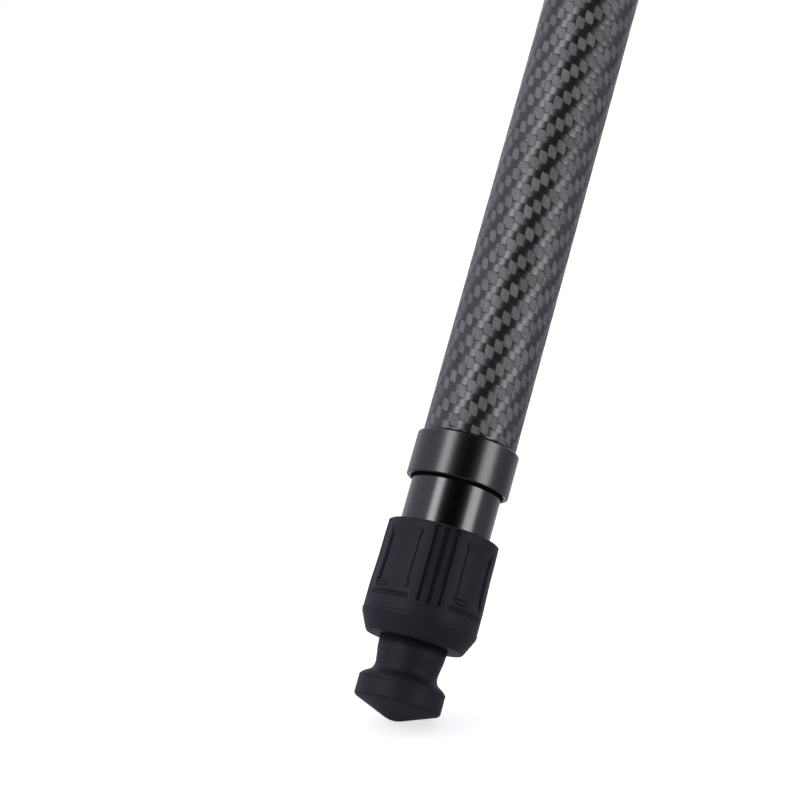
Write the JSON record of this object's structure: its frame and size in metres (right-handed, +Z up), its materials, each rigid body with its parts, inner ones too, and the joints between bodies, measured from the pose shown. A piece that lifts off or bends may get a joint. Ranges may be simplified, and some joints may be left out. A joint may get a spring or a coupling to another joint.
{
  "type": "travel tripod",
  "caption": "Compact carbon-fibre travel tripod with telescoping legs freed by a twist grip at each foot, a centre column and a ball head with a quick release plate.",
  "frame": {"origin": "centre of the camera seat, where the camera screw leaves the pad", "axes": "+Z up along the tripod's axis and the camera screw; one leg runs outwards along +X"},
  "size_m": [0.3491, 0.3992, 0.4748],
  "materials": {
    "carbon": "clear-coated twill carbon fibre",
    "satin_black_metal": "bead-blasted, black anodised",
    "gloss_black_metal": "polished, black anodised",
    "bright_metal": "turned steel",
    "tab_metal": "grey anodised",
    "ball_metal": "polished, grey anodised",
    "knob_rubber": "moulded matt rubber",
    "knob_metal": "satin, black anodised",
    "lock_plastic": "moulded nylon",
    "vial_glass": "clear, tinted fluid"
  },
  "bodies": {
    "spider": {"spider": "satin_black_metal", "hinge_pins": "bright_metal", "column_bush": "lock_plastic"},
    "column": {"column_tube": "carbon", "column_platform": "satin_black_metal", "column_hook": "satin_black_metal", "head_base": "satin_black_metal"},
    "lock_ring": {"column_lock_ring": "knob_rubber"},
    "pan_housing": {"head_housing": "satin_black_metal", "ball_seat": "lock_plastic"},
    "pan_knob": {"pan_knob": "knob_metal"},
    "ball_knob": {"ball_lock_knob": "knob_metal"},
    "ball": {"ball_stem": "ball_metal"},
    "clamp": {"clamp_body": "satin_black_metal", "bubble_level": "vial_glass", "quick_plate": "satin_black_metal", "plate_pad": "knob_rubber"},
    "jaw": {"clamp_jaw": "satin_black_metal"},
    "clamp_knob": {"clamp_knob": "knob_metal"},
    "camera_screw": {"camera_screw": "bright_metal"},
    "leg_a": {"leg_a_yoke": "satin_black_metal", "leg_a_upper_tube": "carbon", "leg_a_collar": "satin_black_metal"},
    "leg_a_tab": {"leg_a_angle_tab": "tab_metal"},
    "leg_a_expander_2": {"leg_a_expander_2": "lock_plastic"},
    "leg_a_section_2": {"leg_a_section_2": "carbon"},
    "leg_a_expander_3": {"leg_a_expander_3": "lock_plastic"},
    "leg_a_section_3": {"leg_a_section_3": "carbon"},
    "leg_a_expander_4": {"leg_a_expander_4": "lock_plastic"},
    "leg_a_section_4": {"leg_a_section_4": "carbon", "leg_a_ferrule": "gloss_black_metal", "leg_a_twist_grip": "knob_rubber", "leg_a_foot": "knob_rubber"},
    "leg_b": {"leg_b_yoke": "satin_black_metal", "leg_b_upper_tube": "carbon", "leg_b_collar": "satin_black_metal"},
    "leg_b_tab": {"leg_b_angle_tab": "tab_metal"},
    "leg_b_expander_2": {"leg_b_expander_2": "lock_plastic"},
    "leg_b_section_2": {"leg_b_section_2": "carbon"},
    "leg_b_expander_3": {"leg_b_expander_3": "lock_plastic"},
    "leg_b_section_3": {"leg_b_section_3": "carbon"},
    "leg_b_expander_4": {"leg_b_expander_4": "lock_plastic"},
    "leg_b_section_4": {"leg_b_section_4": "carbon", "leg_b_ferrule": "gloss_black_metal", "leg_b_twist_grip": "knob_rubber", "leg_b_foot": "knob_rubber"},
    "leg_c": {"leg_c_yoke": "satin_black_metal", "leg_c_upper_tube": "carbon", "leg_c_collar": "satin_black_metal"},
    "leg_c_tab": {"leg_c_angle_tab": "tab_metal"},
    "leg_c_expander_2": {"leg_c_expander_2": "lock_plastic"},
    "leg_c_section_2": {"leg_c_section_2": "carbon"},
    "leg_c_expander_3": {"leg_c_expander_3": "lock_plastic"},
    "leg_c_section_3": {"leg_c_section_3": "carbon"},
    "leg_c_expander_4": {"leg_c_expander_4": "lock_plastic"},
    "leg_c_section_4": {"leg_c_section_4": "carbon", "leg_c_ferrule": "gloss_black_metal", "leg_c_twist_grip": "knob_rubber", "leg_c_foot": "knob_rubber"}
  },
  "joints": [
    {"name": "leg_a_splay", "type": "hinge", "parent": "spider", "child": "leg_a", "pos_m": [-0.017, -0.02944, -0.121], "axis": [-0.866, 0.5, 0], "range_deg": [-28.1, 52]},
    {"name": "leg_a_tab_pull", "type": "slide", "parent": "leg_a", "child": "leg_a_tab", "axis": [-0.4411, -0.7639, 0.471], "range_m": [0, 0.004], "stiffness_N_per_m": 600},
    {"name": "leg_a_slide_2", "type": "slide", "parent": "leg_a", "child": "leg_a_expander_2", "axis": [-0.2355, -0.4079, -0.8821], "range_m": [0, 0.2161]},
    {"name": "leg_a_twist_2", "type": "hinge", "parent": "leg_a_expander_2", "child": "leg_a_section_2", "pos_m": [-0.017, -0.02944, -0.121], "axis": [-0.2355, -0.4079, -0.8821], "range_deg": [0, 60]},
    {"name": "leg_a_slide_3", "type": "slide", "parent": "leg_a_section_2", "child": "leg_a_expander_3", "axis": [-0.2355, -0.4079, -0.8821], "range_m": [0, 0.1886]},
    {"name": "leg_a_twist_3", "type": "hinge", "parent": "leg_a_expander_3", "child": "leg_a_section_3", "pos_m": [-0.017, -0.02944, -0.121], "axis": [-0.2355, -0.4079, -0.8821], "range_deg": [0, 60]},
    {"name": "leg_a_slide_4", "type": "slide", "parent": "leg_a_section_3", "child": "leg_a_expander_4", "axis": [-0.2355, -0.4079, -0.8821], "range_m": [0, 0.1611]},
    {"name": "leg_a_twist_4", "type": "hinge", "parent": "leg_a_expander_4", "child": "leg_a_section_4", "pos_m": [-0.017, -0.02944, -0.121], "axis": [-0.2355, -0.4079, -0.8821], "range_deg": [0, 60]},
    {"name": "leg_b_splay", "type": "hinge", "parent": "spider", "child": "leg_b", "pos_m": [0.034, 0, -0.121], "axis": [0, -1, 0], "range_deg": [-28.1, 52]},
    {"name": "leg_b_tab_pull", "type": "slide", "parent": "leg_b", "child": "leg_b_tab", "axis": [0.8821, 0, 0.471], "range_m": [0, 0.004], "stiffness_N_per_m": 600},
    {"name": "leg_b_slide_2", "type": "slide", "parent": "leg_b", "child": "leg_b_expander_2", "axis": [0.471, 0, -0.8821], "range_m": [0, 0.2161]},
    {"name": "leg_b_twist_2", "type": "hinge", "parent": "leg_b_expander_2", "child": "leg_b_section_2", "pos_m": [0.034, 0, -0.121], "axis": [0.471, 0, -0.8821], "range_deg": [0, 60]},
    {"name": "leg_b_slide_3", "type": "slide", "parent": "leg_b_section_2", "child": "leg_b_expander_3", "axis": [0.471, 0, -0.8821], "range_m": [0, 0.1886]},
    {"name": "leg_b_twist_3", "type": "hinge", "parent": "leg_b_expander_3", "child": "leg_b_section_3", "pos_m": [0.034, 0, -0.121], "axis": [0.471, 0, -0.8821], "range_deg": [0, 60]},
    {"name": "leg_b_slide_4", "type": "slide", "parent": "leg_b_section_3", "child": "leg_b_expander_4", "axis": [0.471, 0, -0.8821], "range_m": [0, 0.1611]},
    {"name": "leg_b_twist_4", "type": "hinge", "parent": "leg_b_expander_4", "child": "leg_b_section_4", "pos_m": [0.034, 0, -0.121], "axis": [0.471, 0, -0.8821], "range_deg": [0, 60]},
    {"name": "leg_c_splay", "type": "hinge", "parent": "spider", "child": "leg_c", "pos_m": [-0.017, 0.02944, -0.121], "axis": [0.866, 0.5, 0], "range_deg": [-28.1, 52]},
    {"name": "leg_c_tab_pull", "type": "slide", "parent": "leg_c", "child": "leg_c_tab", "axis": [-0.4411, 0.7639, 0.471], "range_m": [0, 0.004], "stiffness_N_per_m": 600},
    {"name": "leg_c_slide_2", "type": "slide", "parent": "leg_c", "child": "leg_c_expander_2", "axis": [-0.2355, 0.4079, -0.8821], "range_m": [0, 0.2161]},
    {"name": "leg_c_twist_2", "type": "hinge", "parent": "leg_c_expander_2", "child": "leg_c_section_2", "pos_m": [-0.017, 0.02944, -0.121], "axis": [-0.2355, 0.4079, -0.8821], "range_deg": [0, 60]},
    {"name": "leg_c_slide_3", "type": "slide", "parent": "leg_c_section_2", "child": "leg_c_expander_3", "axis": [-0.2355, 0.4079, -0.8821], "range_m": [0, 0.1886]},
    {"name": "leg_c_twist_3", "type": "hinge", "parent": "leg_c_expander_3", "child": "leg_c_section_3", "pos_m": [-0.017, 0.02944, -0.121], "axis": [-0.2355, 0.4079, -0.8821], "range_deg": [0, 60]},
    {"name": "leg_c_slide_4", "type": "slide", "parent": "leg_c_section_3", "child": "leg_c_expander_4", "axis": [-0.2355, 0.4079, -0.8821], "range_m": [0, 0.1611]},
    {"name": "leg_c_twist_4", "type": "hinge", "parent": "leg_c_expander_4", "child": "leg_c_section_4", "pos_m": [-0.017, 0.02944, -0.121], "axis": [-0.2355, 0.4079, -0.8821], "range_deg": [0, 60]},
    {"name": "column_slide", "type": "slide", "parent": "spider", "child": "column", "axis": [0, 0, 1], "range_m": [0, 0.09]},
    {"name": "lock_ring_turn", "type": "hinge", "parent": "spider", "child": "lock_ring", "pos_m": [0, 0, -0.106], "axis": [0, 0, 1], "range_deg": [0, 120]},
    {"name": "pan_turn", "type": "hinge", "parent": "column", "child": "pan_housing", "pos_m": [0, 0, -0.0695], "axis": [0, 0, 1], "continuous": true},
    {"name": "pan_knob_turn", "type": "hinge", "parent": "pan_housing", "child": "pan_knob", "pos_m": [0, 0, -0.0657], "axis": [0, 1, 0], "range_deg": [0, 270]},
    {"name": "ball_knob_turn", "type": "hinge", "parent": "pan_housing", "child": "ball_knob", "pos_m": [0, 0, -0.051], "axis": [-1, 0, 0], "range_deg": [0, 270]},
    {"name": "ball_tilt", "type": "hinge", "parent": "pan_housing", "child": "ball", "pos_m": [0, 0, -0.043], "axis": [1, 0, 0], "range_deg": [-30, 90]},
    {"name": "ball_spin", "type": "hinge", "parent": "ball", "child": "clamp", "pos_m": [0, 0, -0.017], "axis": [0, 0, 1], "continuous": true},
    {"name": "jaw_slide", "type": "slide", "parent": "clamp", "child": "jaw", "axis": [1, 0, 0], "range_m": [0, 0.0025]},
    {"name": "clamp_knob_turn", "type": "hinge", "parent": "jaw", "child": "clamp_knob", "pos_m": [0.019, 0, -0.01375], "axis": [1, 0, 0], "range_deg": [0, 900]},
    {"name": "camera_screw_turn", "type": "hinge", "parent": "clamp", "child": "camera_screw", "pos_m": [0, 0, 0], "axis": [0, 0, 1], "continuous": true}
  ],
  "couplings": [
    {"joint": "leg_a_twist_3", "follows": "leg_a_twist_2", "ratio": 1},
    {"joint": "leg_a_twist_4", "follows": "leg_a_twist_2", "ratio": 1},
    {"joint": "leg_b_twist_3", "follows": "leg_b_twist_2", "ratio": 1},
    {"joint": "leg_b_twist_4", "follows": "leg_b_twist_2", "ratio": 1},
    {"joint": "leg_c_twist_3", "follows": "leg_c_twist_2", "ratio": 1},
    {"joint": "leg_c_twist_4", "follows": "leg_c_twist_2", "ratio": 1},
    {"joint": "clamp_knob_turn", "follows": "jaw_slide", "rad_per_m": 6283}
  ]
}
